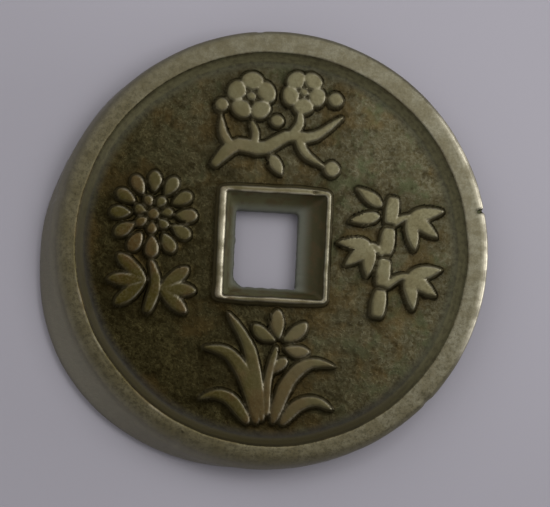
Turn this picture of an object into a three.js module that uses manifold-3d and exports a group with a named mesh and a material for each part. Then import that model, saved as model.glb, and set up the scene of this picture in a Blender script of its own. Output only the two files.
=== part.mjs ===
// A cast bronze cash coin: a round blank with a square hole, raised rims on both faces, and four plant
// sprigs in relief on the front: plum, bamboo, orchid and chrysanthemum. It is one casting.
// Millimetres. +Z points out of the front, +Y to the sprig above the hole, and z = 0 is the back rim.
import * as THREE from "three";
import { mergeVertices } from "three/addons/utils/BufferGeometryUtils.js";
import Module from "manifold-3d";

// The blank
const outerDiameter = 46;
const thickness = 4;
const edgeRounding = 0.8;

// The mould halves did not meet squarely: the front lies this far to the right of the back, and above it.
// The metal between the depths of the two faces leans over, and was filed smooth.
const mouldShift = new THREE.Vector2(1.4, 0.9);

// The two faces. A rim's width runs from the edge of the coin to the inner edge of its flat land.
const frontRimWidth = 2.2;
const frontRimDraft = 0.85;
const frontFieldDepth = 0.95;
const backRimWidth = 2.6;
const backRimDraft = 0.5;
const backFieldDepth = 0.6;

// The raised rim round the square hole, whose four lands were not cast equally wide
const holeCentre = new THREE.Vector2(0.02, 0.38);
const holeRimWidth = 11.6;
const holeRimHeight = 11.6;
const holeRimCorner = 0.35;
const holeRimDraft = 0.3;
const holeRimStep = 0.1;
const holeRimLand = { left: 0.75, right: 0.3, bottom: 0.4, top: 0.34 };
const backHoleRimGrowth = 0.3;

// The hole narrows from its mouth to a web of flash at the seam of the mould halves, and widens again
// behind it. Flash also fills one corner of the throat. The insets are from the edges of the mouth.
const mouthCorner = 0.3;
const seamHeight = 1.8;
const webRise = 0.9;
const webInset = new THREE.Vector2(0.75, 0.55);
const throatInset = new THREE.Vector2(1.94, 1.36);
const throatOffset = new THREE.Vector2(0.07, 0.09);
const throatCorner = 0.5;
const throatFlash = 1.3;
const backInset = new THREE.Vector2(0.9, 0.7);

// The relief, and the bare field that it keeps on either side
const sprigStep = 0.12;
const sprigDraft = 0.16;
const sprigRoot = 0.3;
const gapToOuterRim = 1.05;
const gapToHoleRim = 0.75;

// How finely round forms are cut into facets
const blankSides = 112;
const roundingSteps = 3;
const cornerSteps = 4;
const weldDistance = 1e-4;

// Sizes that follow
const outerRadius = outerDiameter / 2;
const frontField = thickness - frontFieldDepth;
const frontLand = outerRadius - frontRimWidth;
const frontFieldRadius = frontLand - frontRimDraft;
const backLand = outerRadius - backRimWidth;
const holeRimTop = thickness - holeRimStep;
const sprigTop = thickness - sprigStep;
const holeRim = {
  left: holeCentre.x - holeRimWidth / 2,
  right: holeCentre.x + holeRimWidth / 2,
  bottom: holeCentre.y - holeRimHeight / 2,
  top: holeCentre.y + holeRimHeight / 2,
};

const wasm = await Module();
wasm.setup();

function toSolid(geometry) {
  const bare = new THREE.BufferGeometry();
  bare.setAttribute("position", geometry.getAttribute("position"));
  bare.setIndex(geometry.index);
  const welded = mergeVertices(bare, weldDistance);
  return new wasm.Manifold(
    new wasm.Mesh({
      numProp: 3,
      vertProperties: welded.attributes.position.array,
      triVerts: new Uint32Array(welded.index.array),
    }),
  );
}

function toGeometry(solid) {
  const mesh = solid.getMesh();
  const geometry = new THREE.BufferGeometry();
  geometry.setAttribute("position", new THREE.BufferAttribute(mesh.vertProperties, 3));
  geometry.setIndex(new THREE.BufferAttribute(mesh.triVerts, 1));
  return geometry.toNonIndexed();
}

// A solid through closed rings { z, points }, from the lowest up. The rings hold equally many points and
// run counter-clockwise as seen from above.
function loft(rings) {
  const count = rings[0].points.length;
  const positions = rings.flatMap(({ z, points }) => points.flatMap((point) => [point.x, point.y, z]));
  const faces = [];
  for (let base = 0; base < (rings.length - 1) * count; base += count) {
    for (let i = 0; i < count; i++) {
      const here = base + i;
      const next = base + ((i + 1) % count);
      faces.push(here, next, next + count, here, next + count, here + count);
    }
  }
  const top = (rings.length - 1) * count;
  for (const [a, b, c] of THREE.ShapeUtils.triangulateShape(rings[0].points, [])) {
    faces.push(a, c, b);
  }
  for (const [a, b, c] of THREE.ShapeUtils.triangulateShape(rings.at(-1).points, [])) {
    faces.push(top + a, top + b, top + c);
  }
  const geometry = new THREE.BufferGeometry();
  geometry.setAttribute("position", new THREE.Float32BufferAttribute(positions, 3));
  geometry.setIndex(faces);
  return toSolid(geometry);
}

// A rectangle with round corners, one of which may be rounder than the others
function roundedBox({ left, right, bottom, top }, radius, lowerLeft = radius) {
  const corners = [
    { x: right - radius, y: bottom + radius, from: -90, radius },
    { x: right - radius, y: top - radius, from: 0, radius },
    { x: left + radius, y: top - radius, from: 90, radius },
    { x: left + lowerLeft, y: bottom + lowerLeft, from: 180, radius: lowerLeft },
  ];
  return corners.flatMap((corner) =>
    Array.from({ length: cornerSteps + 1 }, (_, i) => {
      const angle = THREE.MathUtils.degToRad(corner.from + (90 * i) / cornerSteps);
      const x = corner.x + corner.radius * Math.cos(angle);
      const y = corner.y + corner.radius * Math.sin(angle);
      return new THREE.Vector2(x, y);
    }),
  );
}

function shrink(box, x, y = x) {
  return { left: box.left + x, right: box.right - x, bottom: box.bottom + y, top: box.top - y };
}

// The blank with both fields sunk below their rims, turned from its half section
function blank() {
  const rounding = outerRadius - edgeRounding;
  const section = new THREE.Path();
  section.moveTo(0, backFieldDepth);
  section.lineTo(backLand - backRimDraft, backFieldDepth);
  section.lineTo(backLand, 0);
  section.absarc(rounding, edgeRounding, edgeRounding, -Math.PI / 2, 0);
  section.absarc(rounding, thickness - edgeRounding, edgeRounding, 0, Math.PI / 2);
  section.lineTo(frontLand, thickness);
  section.lineTo(frontFieldRadius, frontField);
  section.lineTo(0, frontField);
  const turned = new THREE.LatheGeometry(section.getPoints(roundingSteps), blankSides);
  turned.rotateX(Math.PI / 2);
  return toSolid(turned);
}

// The raised rims round both ends of the hole, in one piece through the middle of the blank
function holeRims() {
  const back = shrink(holeRim, -backHoleRimGrowth);
  const foot = (box) => roundedBox(shrink(box, -holeRimDraft), holeRimCorner + holeRimDraft);
  return loft([
    { z: holeRimStep, points: roundedBox(back, holeRimCorner) },
    { z: backFieldDepth, points: foot(back) },
    { z: frontField, points: foot(holeRim) },
    { z: holeRimTop, points: roundedBox(holeRim, holeRimCorner) },
  ]);
}

// The space that the square core of the mould kept free
function holeCore() {
  const beyond = 1;
  const mouth = {
    left: holeRim.left + holeRimLand.left,
    right: holeRim.right - holeRimLand.right,
    bottom: holeRim.bottom + holeRimLand.bottom,
    top: holeRim.top - holeRimLand.top,
  };
  const mouthPoints = roundedBox(mouth, mouthCorner);
  const webPoints = roundedBox(shrink(mouth, webInset.x, webInset.y), throatCorner);
  const throatPoints = roundedBox(shrink(mouth, throatInset.x, throatInset.y), throatCorner, throatFlash);
  const backPoints = roundedBox(shrink(mouth, backInset.x, backInset.y), mouthCorner);
  return loft([
    { z: -beyond, points: backPoints },
    { z: 0, points: backPoints },
    { z: seamHeight, points: throatPoints.map((point) => point.add(throatOffset)) },
    { z: seamHeight + webRise, points: webPoints },
    { z: holeRimTop, points: mouthPoints },
    { z: thickness + beyond, points: mouthPoints },
  ]);
}

// Sprigs are drawn in units of their own, on a tile that reaches this far each way from its middle
const tileHalf = 6;

// A brushed stroke along a curve through points. Its width is greatest at the share "widest" of its length,
// and its ends are fuller the lower "fullness" is: 0.2 for a blunt bar, 0.5 for an oval, 0.7 for a leaf.
function stroke(points, width, widest = 0.5, fullness = 0.5, steps = 10) {
  const curve = new THREE.SplineCurve(points.map(([x, y]) => new THREE.Vector2(x, y)));
  return { curve, width, widest, fullness, steps };
}

// A straight or bowed stroke from a point, at an angle in degrees
function leaf(x, y, angle, length, width, widest = 0.45, fullness = 0.7, bow = 0, steps = 8) {
  const radians = THREE.MathUtils.degToRad(angle);
  const [along, across] = [Math.cos(radians), Math.sin(radians)];
  const at = (share, side) => [
    x + along * length * share - across * side,
    y + across * length * share + along * side,
  ];
  return stroke([at(0, 0), at(0.5, bow), at(1, 0)], width, widest, fullness, steps);
}

function dot(x, y, radius) {
  return leaf(x - radius, y, 0, 2 * radius, 2 * radius, 0.5, 0.5, 0, 7);
}

// Petals round a point, each from radius "near" to radius "far", the first at the angle "turn"
function petals(x, y, count, near, far, width, turn, widest = 0.6) {
  return Array.from({ length: count }, (_, i) => {
    const angle = turn + (360 * i) / count;
    const radians = THREE.MathUtils.degToRad(angle);
    const [startX, startY] = [x + near * Math.cos(radians), y + near * Math.sin(radians)];
    return leaf(startX, startY, angle, far - near, width, widest, 0.5, 0, 7);
  });
}

function blossom(x, y, radius, turn) {
  return [
    ...petals(x, y, 5, radius * 0.25, radius, radius * 0.88, turn, 0.56),
    dot(x, y, radius * 0.18),
  ];
}

function plumSprig() {
  return [
    stroke([[-7, -4.9], [-4.6, -2.5], [-1.6, -2.7], [1, -1.2], [3.8, -1.1], [7, 1.3]], 1.5, 0.3, 0.4, 16),
    stroke([[-4.8, -2.9], [-6, -1.2], [-6.3, 0.9]], 0.95, 0.3, 0.5),
    stroke([[-2.6, -2.5], [-2.5, -1], [-3, 0.3]], 0.85, 0.4, 0.3, 8),
    stroke([[1, -1.3], [2.2, 0], [2.3, 1.5]], 0.85, 0.4, 0.3, 8),
    stroke([[2, -1.3], [3.2, -3.1], [5.2, -4.3]], 1, 0.3, 0.5),
    ...blossom(-3.1, 2.9, 2.7, 90),
    ...blossom(2.6, 3.7, 2.45, 54),
    dot(-6.3, 1.8, 0.75),
    dot(6, -4.5, 0.85),
    dot(6.1, 3.1, 0.85),
    dot(-0.2, 0.4, 0.7),
    leaf(-0.7, -3.3, 300, 2.5, 1.25),
  ];
}

function bambooSprig() {
  const pitch = 3.4;
  const joint = 0.35;
  const lean = 0.1;
  const [footX, footY] = [-1.5, -6.9];
  const culm = [0, 1, 2, 3].map((index) => {
    const low = index * pitch;
    const high = low + pitch - joint;
    const ends = [low, high].map((rise) => [footX + lean * rise, footY + rise]);
    return stroke(ends, 1.55, 0.5, 0.16, 7);
  });
  const spray = (x, y, length, angles) => angles.map((angle) => leaf(x, y, angle, length, 1.5, 0.4));
  return [
    ...culm,
    stroke([[-0.7, -3.6], [0.6, -2.5], [1.8, -2.1]], 0.7, 0.4, 0.3, 8),
    stroke([[-1.1, -0.2], [-1.9, 0.7], [-2.6, 1]], 0.7, 0.4, 0.3, 8),
    stroke([[-0.1, 3.2], [0.8, 4], [1.8, 4.3]], 0.7, 0.4, 0.3, 8),
    ...spray(1.8, -2.1, 3.8, [12, -34, -80]),
    ...spray(-2.5, 1, 3.6, [180, 222, 266]),
    ...spray(1.7, 4.3, 3.8, [12, -34, -80]),
    leaf(-1.4, 5.2, 146, 3.4, 1.4, 0.4),
    leaf(-1.6, 4.2, 194, 3.4, 1.4, 0.4),
  ];
}

function orchidSprig() {
  return [
    stroke([[-0.9, -6.3], [-2.1, -1.8], [-4.2, 1.1], [-7.1, 1.7]], 1.5, 0.4, 0.5, 14),
    stroke([[-0.3, -6], [-1.4, -0.6], [-2.5, 2.6], [-4.5, 5.5]], 1.4, 0.4, 0.5, 14),
    stroke([[0.8, -6.2], [2.1, -2], [4.4, 0.4], [7.2, 0.3]], 1.5, 0.4, 0.5, 14),
    stroke([[1.7, -6.3], [3.4, -4.2], [5.4, -3.6], [7.2, -4.4]], 1.35, 0.4, 0.5, 12),
    stroke([[-1.8, -6.3], [-3.6, -4], [-5.5, -3.3], [-7.2, -3.9]], 1.35, 0.4, 0.5, 12),
    stroke([[0.1, -5.4], [0.1, -1.5], [0.9, 2.1]], 0.9, 0.4, 0.25, 10),
    leaf(1.1, 2.9, 94, 3.2, 1.5, 0.55, 0.55, 0.2),
    leaf(0.7, 2.7, 146, 3, 1.4, 0.55, 0.55, 0.2),
    leaf(1.6, 2.7, 42, 3.2, 1.5, 0.55, 0.55, -0.2),
    leaf(1.7, 2, 354, 2.8, 1.35, 0.55, 0.55, -0.2),
    leaf(0.6, -0.8, 52, 2.2, 1.2, 0.6, 0.5),
  ];
}

function chrysanthemumSprig() {
  const [x, y] = [0, 3];
  return [
    ...petals(x, y, 12, 2.35, 4.7, 1.45, 90),
    ...petals(x, y, 7, 0.85, 2.15, 1.05, 112),
    dot(x, y, 0.6),
    stroke([[0, -2], [0.6, -4.4], [-0.2, -7.6]], 1.15, 0.6, 0.25, 12),
    ...[140, 180, 220].map((angle) => leaf(-0.4, -4.2, angle, 4.2, 1.45, 0.58, 0.55)),
    ...[40, 0, 320].map((angle) => leaf(1.1, -5, angle, 3.8, 1.45, 0.58, 0.55)),
  ];
}

// Each sprig stands between the two rims on its own side of the hole, and all have the scale that fits
// the narrowest of the four bands of field.
const sprigs = [
  { strokes: plumSprig(), side: new THREE.Vector2(0, 1), inner: holeRim.top + holeRimDraft },
  { strokes: bambooSprig(), side: new THREE.Vector2(1, 0), inner: holeRim.right + holeRimDraft },
  { strokes: orchidSprig(), side: new THREE.Vector2(0, -1), inner: -holeRim.bottom + holeRimDraft },
  { strokes: chrysanthemumSprig(), side: new THREE.Vector2(-1, 0), inner: -holeRim.left + holeRimDraft },
];
const tallestRim = Math.max(...sprigs.map(({ inner }) => inner));
const tileUnit = (frontFieldRadius - tallestRim - gapToOuterRim - gapToHoleRim) / (2 * tileHalf);

// The outline of a stroke where it stands on the coin, widened all round by a flare
function strokeOutline({ curve, width, widest, fullness, steps }, middle, flare) {
  const skew = Math.log(0.5) / Math.log(widest);
  const centreLine = (share) => curve.getPointAt(share).multiplyScalar(tileUnit).add(middle);
  const left = [];
  const right = [];
  for (let i = 1; i < steps; i++) {
    const share = (1 - Math.cos((Math.PI * i) / steps)) / 2;
    const along = curve.getTangentAt(share);
    const across = new THREE.Vector2(-along.y, along.x);
    const half = (tileUnit * width * Math.sin(Math.PI * share ** skew) ** fullness) / 2;
    left.push(centreLine(share).addScaledVector(across, half + flare));
    right.push(centreLine(share).addScaledVector(across, -half - flare));
  }
  const start = centreLine(0).addScaledVector(curve.getTangentAt(0), -flare);
  const end = centreLine(1).addScaledVector(curve.getTangentAt(1), flare);
  return [start, ...right, end, ...left.reverse()];
}

// The strokes of a sprig as solids that taper to their flat tops and are rooted below the field
function sprigRelief({ strokes, side, inner }) {
  const middle = side.clone().multiplyScalar(inner + gapToHoleRim + tileHalf * tileUnit);
  return strokes.map((one) => {
    const foot = strokeOutline(one, middle, sprigDraft);
    return loft([
      { z: frontField - sprigRoot, points: foot },
      { z: frontField, points: foot },
      { z: sprigTop, points: strokeOutline(one, middle, 0) },
    ]);
  });
}

// Slides the front over the back. Above and below the middle of the coin each face keeps its own shape.
function slideMouldHalves(geometry) {
  const position = geometry.getAttribute("position");
  for (let i = 0; i < position.count; i++) {
    const rise = (position.getZ(i) - frontFieldDepth) / (thickness - 2 * frontFieldDepth);
    const share = THREE.MathUtils.clamp(rise, 0, 1) - 0.5;
    position.setX(i, position.getX(i) + mouldShift.x * share);
    position.setY(i, position.getY(i) + mouldShift.y * share);
  }
}

function casting() {
  const raised = [blank(), holeRims(), ...sprigs.flatMap(sprigRelief)];
  const geometry = toGeometry(wasm.Manifold.union(raised).subtract(holeCore()));
  slideMouldHalves(geometry);
  geometry.computeVertexNormals();
  return geometry;
}

const bronze = new THREE.MeshStandardMaterial({ color: 0x6b6550, roughness: 0.5, metalness: 0.85 });
const coin = new THREE.Mesh(casting(), bronze);
coin.name = "cash_coin";

const part = new THREE.Group();
part.add(coin);
export default part;
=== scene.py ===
import math

import bpy
import numpy as np
from mathutils import Matrix, Vector


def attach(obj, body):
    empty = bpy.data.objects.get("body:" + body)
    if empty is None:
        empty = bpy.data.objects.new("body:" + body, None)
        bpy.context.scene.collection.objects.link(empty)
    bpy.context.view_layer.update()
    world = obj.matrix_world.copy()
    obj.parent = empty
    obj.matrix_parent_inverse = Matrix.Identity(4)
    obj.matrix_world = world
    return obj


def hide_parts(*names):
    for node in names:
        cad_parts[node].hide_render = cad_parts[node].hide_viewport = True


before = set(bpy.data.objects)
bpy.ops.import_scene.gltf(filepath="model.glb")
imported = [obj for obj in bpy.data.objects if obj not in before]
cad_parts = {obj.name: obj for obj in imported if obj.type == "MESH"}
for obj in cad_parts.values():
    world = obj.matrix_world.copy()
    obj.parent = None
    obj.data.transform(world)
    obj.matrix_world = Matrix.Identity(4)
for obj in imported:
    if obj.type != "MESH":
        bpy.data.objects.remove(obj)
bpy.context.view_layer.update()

# Sizes of the coin in millimetres, as in the solid that this piece replaces. Only the hole's rim, mouth and
# throat differ from it, by up to 0.12 mm. They describe a straight blank round the Z axis. place() slides its
# front over its back and turns it into metres.
METRE = 1000.0
OUTER_RADIUS = 23.0
THICKNESS = 4.0
EDGE_ROUNDING = 0.8
MOULD_SHIFT = (1.4, 0.9)
SLIDE_DEPTH = 0.95
FRONT_LAND = 20.8
FRONT_DRAFT = 0.85
FRONT_FIELD = 3.05
BACK_LAND = 20.4
BACK_DRAFT = 0.5
BACK_FIELD = 0.6
HOLE_RIM = {"left": -5.83, "right": 5.86, "bottom": -5.42, "top": 6.18}
HOLE_RIM_TOP = 3.9
HOLE_RIM_BACK = 0.1
HOLE_RIM_DRAFT = 0.3
HOLE_RIM_CORNER = 0.35
BACK_RIM_GROWTH = 0.3
MOUTH = {"left": -5.15, "right": 5.52, "bottom": -5.02, "top": 5.84}
MOUTH_CORNER = 0.3
WEB_HEIGHT = 2.7
WEB_INSET = (0.75, 0.55)
SEAM_HEIGHT = 1.8
THROAT_INSET = (1.92, 1.29)
THROAT_OFFSET = (0.13, 0.09)
THROAT_CORNER = 0.5
THROAT_FLASH = 1.3
BACK_INSET = (0.9, 0.7)
RELIEF_TOP = 3.88
RELIEF_DRAFT = 0.16
GAP_TO_OUTER_RIM = 1.05
GAP_TO_HOLE_RIM = 0.75
TILE_HALF = 6.0

# The top and bottom sides of the hole's rim bow outwards
TOP_BOW = 0.25
BOTTOM_BOW = 0.22

# Wear and casting, in millimetres: softened walls, worn tops, fillets in the field and the mouth's bevel
SOFTEN = 0.08
TOP_WEAR = 0.03
RELIEF_CROWN = 0.03
CROWN_WIDTH = 0.3
FIELD_SWELL = 0.05
FIELD_SWELL_WIDTH = 0.7
LAND_FALL = 0.1
LAND_SKIM = 0.01
BACK_SKIM = 0.012
RIM_FOOT = 0.15
RIM_FILLET = 0.05
RIM_FILLET_WIDTH = 1.2
MOUTH_EDGE = 0.13
MOUTH_EDGE_LEFT = 0.22

# How much of the tops' unevenness the hole's rim and the outer rim have, how round the mouth's edge is, and
# the power by which the outer rim's land falls
HOLE_RIM_WORN = 0.6
LAND_WORN = 0.5
MOUTH_EDGE_FALL = 0.7
LAND_CURVE = 1.5

# Over how many millimetres the left and the right bar of the hole's rim take on their own wear and painted
# highlight
LEFT_BAR_BLEND = 1.0
RIGHT_BAR_BLEND = 0.3

# Knocks in the edge of the front: compass angle and half width in degrees, and depth
NICKS = ((13.15, 0.6, 0.24), (318, 1.3, 0.1), (96, 1.0, 0.08), (168, 1.6, 0.12), (246, 1.2, 0.12))

# A knock presses the land down by this share of its depth, between these radii, and a deep one is dark
KNOCK_FALL = 0.8
KNOCK_REACH = (21.9, 22.4)
DARK_KNOCK = (0.13, 0.2)
KNOCK_DARKNESS = 0.7

# The top land of the hole's rim is broken through here
BREAK = (4.15, 6.1)
BREAK_SIZE = 0.28
BREAK_DEPTH = 0.25

# The edge was filed by hand. At these angles in degrees the back of it stands out or was filed away, by so
# many millimetres over so many degrees. It stays this far inside the solid's box.
FILED = ((214, 0.42, 24), (155, -0.6, 17), (183, -0.2, 12), (246, -0.2, 14), (272, -0.9, 17))
BOX_GAP = 0.01

# Upright streaks that the file left on the flank
STREAK_DEPTH = 0.02
STREAK_SPACING = 0.5
STREAK_SLANT = 0.3
STREAK_SEED = 85

# The shoulder between the outer rim and the flank is sharp on the right and worn round on the left
SHARP_SHOULDER = 0.5
WORN_SHOULDER = 1.5

# Sides of the coin: the compass angle of the middle, and the cosines off it between which a mark comes up.
# The shoulder is worn round on the first, the inner edge of the outer rim, which faces the light there, gets
# a painted highlight in short stretches on the second, and the shoulder gets a painted highlight on the
# third.
WORN_SIDE = (math.radians(208.0), -0.5, 0.7)
RIM_HIGHLIGHT_SIDE = (math.radians(216.0), 0.82, 0.96)
SHOULDER_HIGHLIGHT_SIDE = (math.radians(8.0), 0.75, 0.95)

# The sides of the strokes that face this way, towards the light, get a painted highlight. Their outline's
# distance is compared over a short step, and the painted highlight comes up between two slopes of it.
STROKE_LIT_SIDE = math.radians(15.0)
LIGHT_STEP = 0.06
LIT_SLOPE = (-0.3, 0.8)

# Polished edges with painted highlights: where their line lies and how wide it is, in millimetres, how bright
# it is everywhere and how much brighter where its share is full. The share marks the parts that face the
# light, and the brightness it adds is a painted highlight. The shoulder's line and width are angles.
SHINE = {
    "strokes": (0.0, 0.11, 0.04, 0.4),
    "hole rim": (-0.02, 0.12, 0.2, 0.3),
    "outer rim": (-0.06, 0.07, 0.0, 0.2),
    "left bar": (0.17, 0.09, 0.0, 1.0),
    "left land": (0.34, 0.22, 0.0, 0.3),
    "mouth": (0.04, 0.1, 0.4, 0.0),
    "hole": (0.0, 0.1, 1.0, 0.0),
    "shoulder": (0.6, 0.5, 0.0, 1.0),
}

# Unevenness: millimetres high and across, the seed, and how many noises, each finer, are added up
UNEVEN = {
    "front field": (0.03, 4.0, 10, 2),
    "front grain": (0.012, 1.2, 12, 3),
    "front tops": (0.02, 2.2, 20, 3),
    "back field": (0.03, 4.0, 14, 2),
    "back grain": (0.025, 1.2, 16, 3),
    "back tops": (0.02, 2.4, 24, 2),
    "dirt and shade width": (0.9, 1.8, 30, 3),
    "shining stretches": (1.0, 0.7, 34, 2),
    "stroke outline": (0.05, 1.5, 40, 2),
    "hole rim outline": (0.06, 2.6, 50, 2),
    "back rim outline": (0.08, 2.6, 52, 2),
    "mouth outline": (0.05, 2.2, 60, 2),
    "outer rim outline": (0.05, 3.4, 70, 2),
    "flank": (0.03, 3.0, 80, 3),
    "throat flash": (0.1, 1.3, 90, 3),
    "hole walls": (0.04, 1.6, 95, 3),
}

# The wall of the hole starts this high at the back and is upright for so much on both sides of the seam. Its
# unevenness runs on a slant, by this many millimetres of plan for each of height.
HOLE_START = 0.22
SEAM_HALF = 0.05
SWELL_SLANT = 3.0

# What the material has to know at each point, and over which distances or shares these marks come up
# The mark of grime beside raised parts is partly painted shade, and the edge mark is polished edges with
# painted highlights
MARKS = ("raised", "wall", "dirt_and_shade", "patina", "edge", "flank", "depth")
WALL_FOOT = 0.05
WALL_TOP = 0.35
LAND_START = 0.85
PATINA_TOP = 0.25
DIRT_AND_SHADE_WIDTH = 1.3
LEAST_DIRT_AND_SHADE_WIDTH = 0.2
BACK_DIRT_AND_SHADE_WIDTH = 0.5
MOUTH_BLEND = 0.25
FLANK_TURN = 1.6
BACK_FLANK_TURN = (0.9, 1.4)

# The mesh is a grid of closed rows round the hole. Its columns run along rays from a point in the hole, and
# are closer together towards the sprigs than between them.
COLUMNS = 620
RAY_ORIGIN = (0.25, 0.4)
CROWDING = 0.2
FARTHEST = 30.0
HALVINGS = 36

# How many rows there are in each part of the front, the edge, the back and the hole
LAND_ROWS = 4
WALL_ROWS = 5
FIELD_ROWS = 82
SHOULDER_ROWS = 9
FLANK_ROWS = 4
BACK_EDGE_ROWS = 6
BACK_ROWS = (2, 4, 11, 3, 3)
HOLE_ROWS = (4, 1, 4, 5)

# Where rows lie at the edges of the lands, in millimetres and for the mouth as a share of its bevel
MOUTH_EDGE_ROW = 0.35
RIM_SLOPE_END = 0.2
RIM_EDGE_ROWS = (-0.08, 0.0, 0.1)
BACK_LAND_START = 1.2
BACK_HOLE_EDGE = 0.1

# Grid points this close to a line along a stroke's wall are moved onto it
SNAP_LOOK = 0.6
SNAP_REACH = 0.075
LEAST_SLOPE = 0.3

# Noise: its table's size, where on it the coin's middle lies, and how much smaller each finer noise is
NOISE_TABLE = 128
NOISE_SHIFT = 300.0
FINER = 2.1

# Along how many steps a curve is measured, and how many stations an outline has on each side
CURVE_STEPS = 400
OUTLINE_STATIONS = 22


def smooth(t):
    t = np.clip(t, 0.0, 1.0)
    return t * t * (3.0 - 2.0 * t)


def rise(value, low, high):
    """0 up to low and 1 from high on."""
    return smooth((value - low) / (high - low))


def fade(value, width):
    """1 up to 0 and 0 from width on."""
    return smooth(1.0 - value / width)


def noise(x, y, size, seed):
    """Smooth random heights from -1 to 1 over the plane, whose bumps are about size across."""
    table = np.random.default_rng(seed).uniform(-1.0, 1.0, (NOISE_TABLE, NOISE_TABLE))
    u = x / size + NOISE_SHIFT
    v = y / size + NOISE_SHIFT
    column = np.floor(u).astype(int)
    row = np.floor(v).astype(int)
    fu = smooth(u - column)
    fv = smooth(v - row)

    def at(i, j):
        return table[(row + j) % NOISE_TABLE, (column + i) % NOISE_TABLE]

    low = at(0, 0) * (1.0 - fu) + at(1, 0) * fu
    high = at(0, 1) * (1.0 - fu) + at(1, 1) * fu
    return low * (1.0 - fv) + high * fv


def rough(x, y, size, seed, octaves):
    """Noise with finer and weaker noise on top of it."""
    total = np.zeros_like(x)
    for octave in range(octaves):
        total += noise(x, y, size / FINER**octave, seed + octave) * 0.5**octave
    return total


def uneven(x, y, name):
    """The unevenness of that name in UNEVEN, up and down from 0."""
    height, size, seed, octaves = UNEVEN[name]
    return height * rough(x, y, size, seed, octaves)


def worn_off(x, y, name):
    """The unevenness of that name in UNEVEN, from 0 up."""
    height, _, _, octaves = UNEVEN[name]
    return height + uneven(x, y, name) / sum(0.5**octave for octave in range(octaves))


def shrink(box, x, y):
    moves = {"left": x, "right": -x, "bottom": y, "top": -y}
    return {side: box[side] + move for side, move in moves.items()}


BACK_RIM = shrink(HOLE_RIM, -BACK_RIM_GROWTH, -BACK_RIM_GROWTH)


def box_distance(x, y, box, radius, lower_left=None):
    """Signed distance from a rectangle with round corners, negative inside."""
    middle_x = (box["left"] + box["right"]) / 2.0
    middle_y = (box["bottom"] + box["top"]) / 2.0
    corner = np.full_like(x, radius)
    if lower_left is not None:
        corner[(x < middle_x) & (y < middle_y)] = lower_left
    dx = np.abs(x - middle_x) - (box["right"] - box["left"]) / 2.0 + corner
    dy = np.abs(y - middle_y) - (box["top"] - box["bottom"]) / 2.0 + corner
    outside = np.hypot(np.maximum(dx, 0.0), np.maximum(dy, 0.0))
    return outside + np.minimum(np.maximum(dx, dy), 0.0) - corner


# Rays
steps = np.arange(COLUMNS) * 2.0 * math.pi / COLUMNS
ray_angles = steps - CROWDING * np.sin(4.0 * steps) / 4.0
ray_x = np.cos(ray_angles)
ray_y = np.sin(ray_angles)


def on_rays(run):
    return RAY_ORIGIN[0] + run * ray_x, RAY_ORIGIN[1] + run * ray_y


def reach(distance, level):
    """How far each ray runs until distance(x, y) comes up to level."""
    near = np.zeros(COLUMNS)
    far = np.full(COLUMNS, FARTHEST)
    for _ in range(HALVINGS):
        middle = (near + far) / 2.0
        beyond = distance(*on_rays(middle)) > level
        far = np.where(beyond, middle, far)
        near = np.where(beyond, near, middle)
    return far


def between(first, last, count):
    """Rows of runs from first to last, without last."""
    return [first + (last - first) * i / count for i in range(count)]


# The sprigs: the same strokes as in the solid, drawn on a tile in units of their own


def stroke(points, width, widest=0.5, fullness=0.5):
    return {"points": np.array(points, float), "width": width, "widest": widest, "fullness": fullness}


def leaf(x, y, angle, length, width, widest=0.45, fullness=0.7, bow=0.0):
    along = math.cos(math.radians(angle))
    across = math.sin(math.radians(angle))
    points = [
        (x + along * length * share - across * side, y + across * length * share + along * side)
        for share, side in ((0.0, 0.0), (0.5, bow), (1.0, 0.0))
    ]
    return stroke(points, width, widest, fullness)


def dot(x, y, radius):
    return leaf(x - radius, y, 0.0, 2.0 * radius, 2.0 * radius, 0.5, 0.5)


def petals(x, y, count, near, far, width, turn, widest=0.6):
    drawn = []
    for i in range(count):
        angle = turn + 360.0 * i / count
        start_x = x + near * math.cos(math.radians(angle))
        start_y = y + near * math.sin(math.radians(angle))
        drawn.append(leaf(start_x, start_y, angle, far - near, width, widest, 0.5))
    return drawn


def blossom(x, y, radius, turn):
    outer = petals(x, y, 5, radius * 0.25, radius, radius * 0.88, turn, 0.56)
    return [*outer, dot(x, y, radius * 0.18)]


def plum_sprig():
    return [
        stroke([(-7, -4.9), (-4.6, -2.5), (-1.6, -2.7), (1, -1.2), (3.8, -1.1), (7, 1.3)], 1.5, 0.3, 0.4),
        stroke([(-4.8, -2.9), (-6, -1.2), (-6.3, 0.9)], 0.95, 0.3, 0.5),
        stroke([(-2.6, -2.5), (-2.5, -1), (-3, 0.3)], 0.85, 0.4, 0.3),
        stroke([(1, -1.3), (2.2, 0), (2.3, 1.5)], 0.85, 0.4, 0.3),
        stroke([(2, -1.3), (3.2, -3.1), (5.2, -4.3)], 1.0, 0.3, 0.5),
        *blossom(-3.1, 2.9, 2.7, 90),
        *blossom(2.6, 3.7, 2.45, 54),
        dot(-6.3, 1.8, 0.75),
        dot(6, -4.5, 0.85),
        dot(6.1, 3.1, 0.85),
        dot(-0.2, 0.4, 0.7),
        leaf(-0.7, -3.3, 300, 2.5, 1.25),
    ]


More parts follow.
